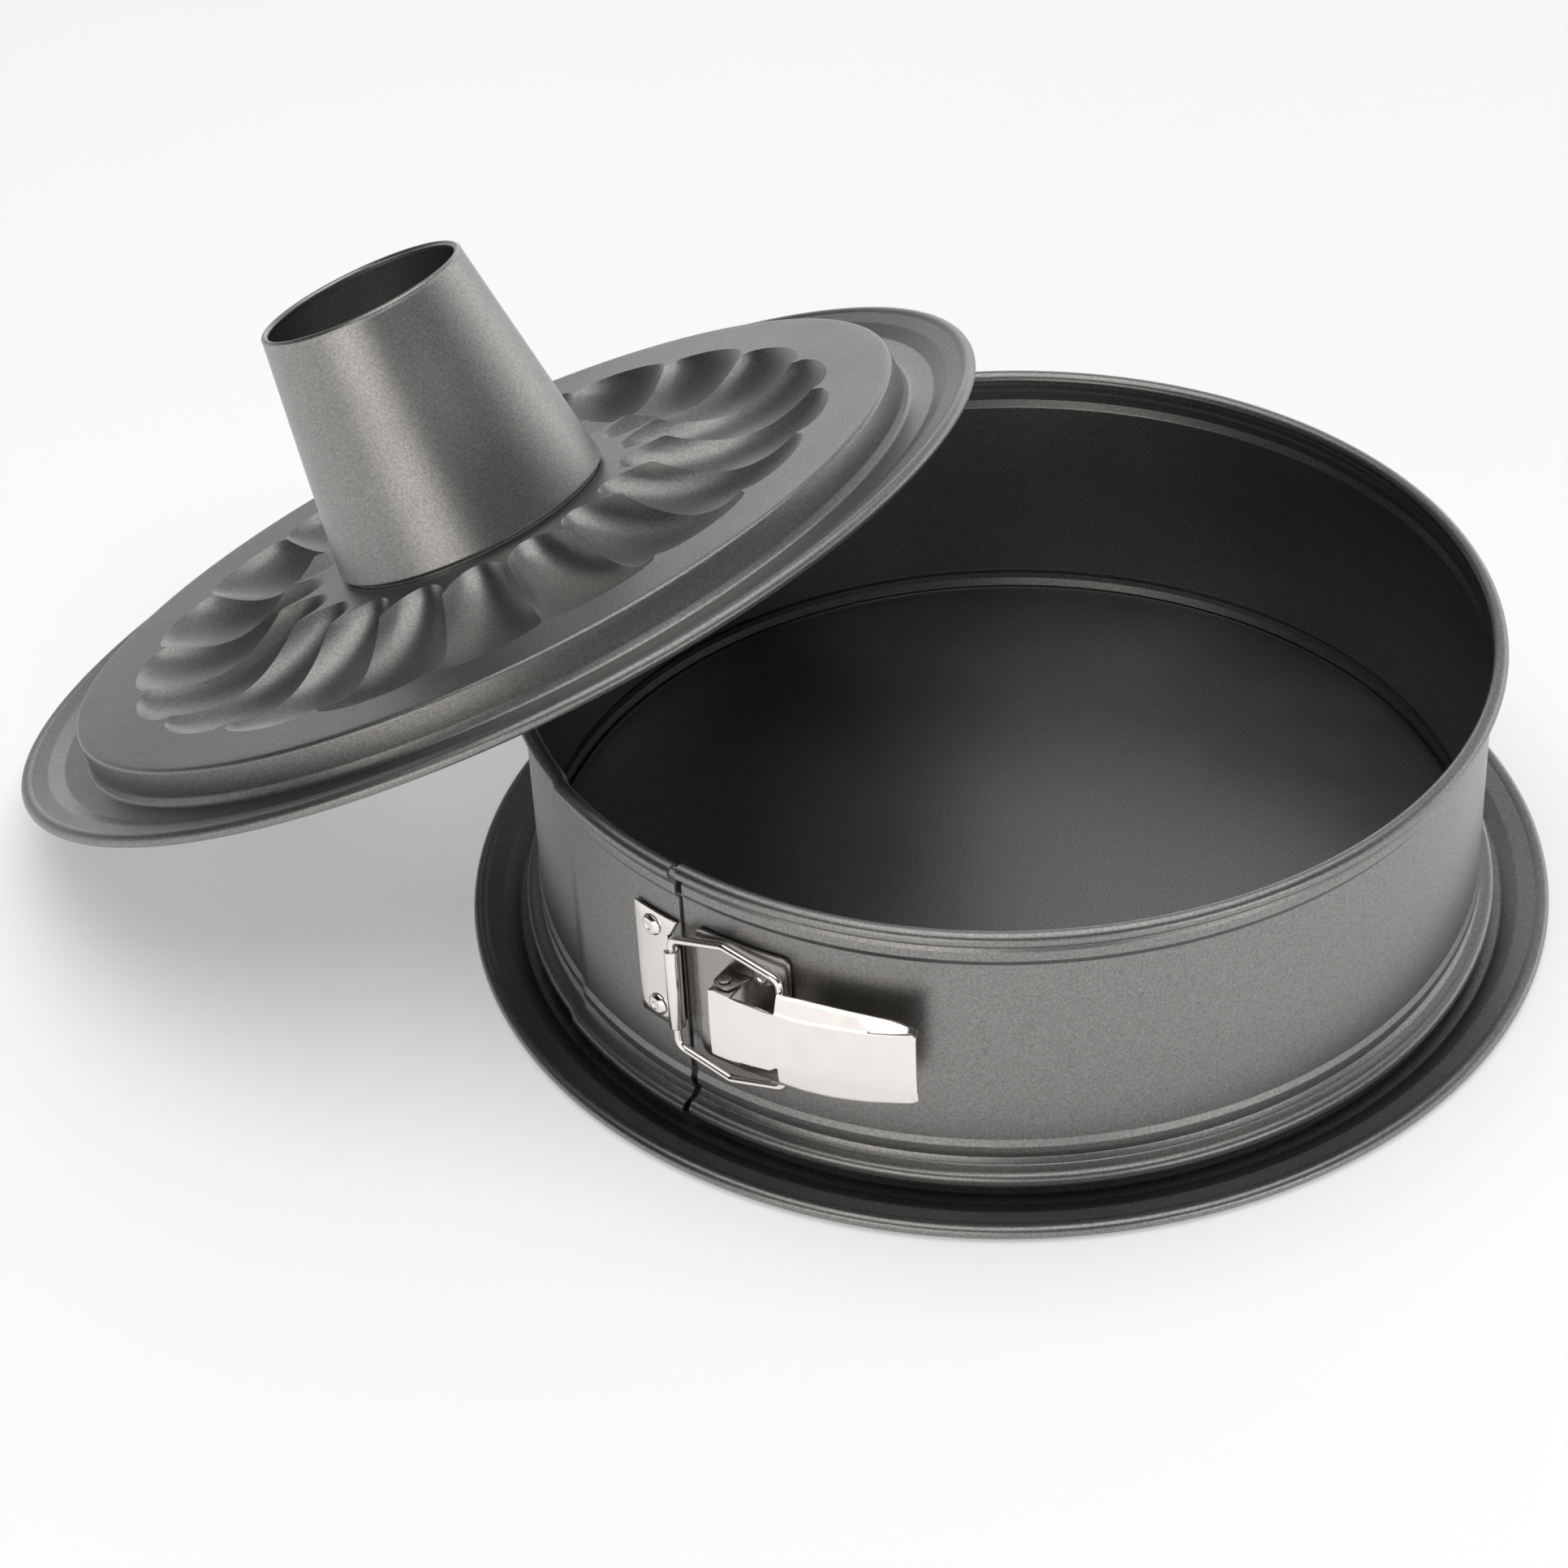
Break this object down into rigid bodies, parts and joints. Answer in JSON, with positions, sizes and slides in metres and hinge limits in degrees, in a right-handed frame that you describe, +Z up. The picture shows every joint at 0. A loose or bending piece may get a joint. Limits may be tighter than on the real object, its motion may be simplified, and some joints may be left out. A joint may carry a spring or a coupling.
{
  "type": "springform cake pan with tube insert",
  "caption": "Round springform cake pan: a sprung ring with a lever latch clamps on a flat base with a drip rim, and a second fluted base with a central tube leans on it.",
  "frame": {"origin": "centre of the flat base's cake floor, on the axis of the ring", "axes": "+Z up out of the pan, along the ring's axis; the latch faces -Y and a little -X, and the second base leans on the ring on the -X side"},
  "size_m": [0.4409, 0.3673, 0.1585],
  "materials": {
    "coated_steel": "satin dark grey non-stick coating",
    "nickel_plated_steel": "bright nickel plating"
  },
  "bodies": {
    "flat_base": {"flat_base": "coated_steel"},
    "ring_right": {"ring_band_right": "coated_steel", "lever_bracket": "nickel_plated_steel", "bracket_rivet_upper": "nickel_plated_steel", "bracket_rivet_lower": "nickel_plated_steel", "lever_pin": "nickel_plated_steel"},
    "ring_left": {"ring_band_left": "coated_steel", "strike_plate": "nickel_plated_steel", "strike_rivet_upper": "nickel_plated_steel", "strike_rivet_lower": "nickel_plated_steel"},
    "lever": {"latch_lever": "nickel_plated_steel"},
    "bail": {"bail_wire": "nickel_plated_steel"},
    "tube_base": {"tube_base_plate": "coated_steel", "tube_cone": "coated_steel"}
  },
  "joints": [
    {"name": "ring_lift", "type": "slide", "parent": "flat_base", "child": "ring_right", "axis": [0, 0, 1], "range_m": [0, 0.12]},
    {"name": "ring_spring_open", "type": "hinge", "parent": "ring_right", "child": "ring_left", "pos_m": [0.08485, 0.10629, 0.0354], "axis": [0, 0, -1], "range_deg": [0, 2.68]},
    {"name": "lever_swing", "type": "hinge", "parent": "ring_right", "child": "lever", "pos_m": [-0.07159, -0.11774, 0.0354], "axis": [0, 0, -1], "range_deg": [0, 110.3]},
    {"name": "bail_swing", "type": "hinge", "parent": "ring_left", "child": "bail", "pos_m": [-0.08583, -0.10524, 0.0354], "axis": [0, 0, -1], "range_deg": [0, 32]},
    {"name": "tube_base_lift", "type": "slide", "parent": "ring_left", "child": "tube_base", "axis": [0, 0, 1], "range_m": [0, 0.12]}
  ],
  "couplings": [
    {"joint": "lever_swing", "follows": "ring_spring_open", "ratio": 41.047},
    {"joint": "bail_swing", "follows": "ring_spring_open", "ratio": 11.845}
  ]
}
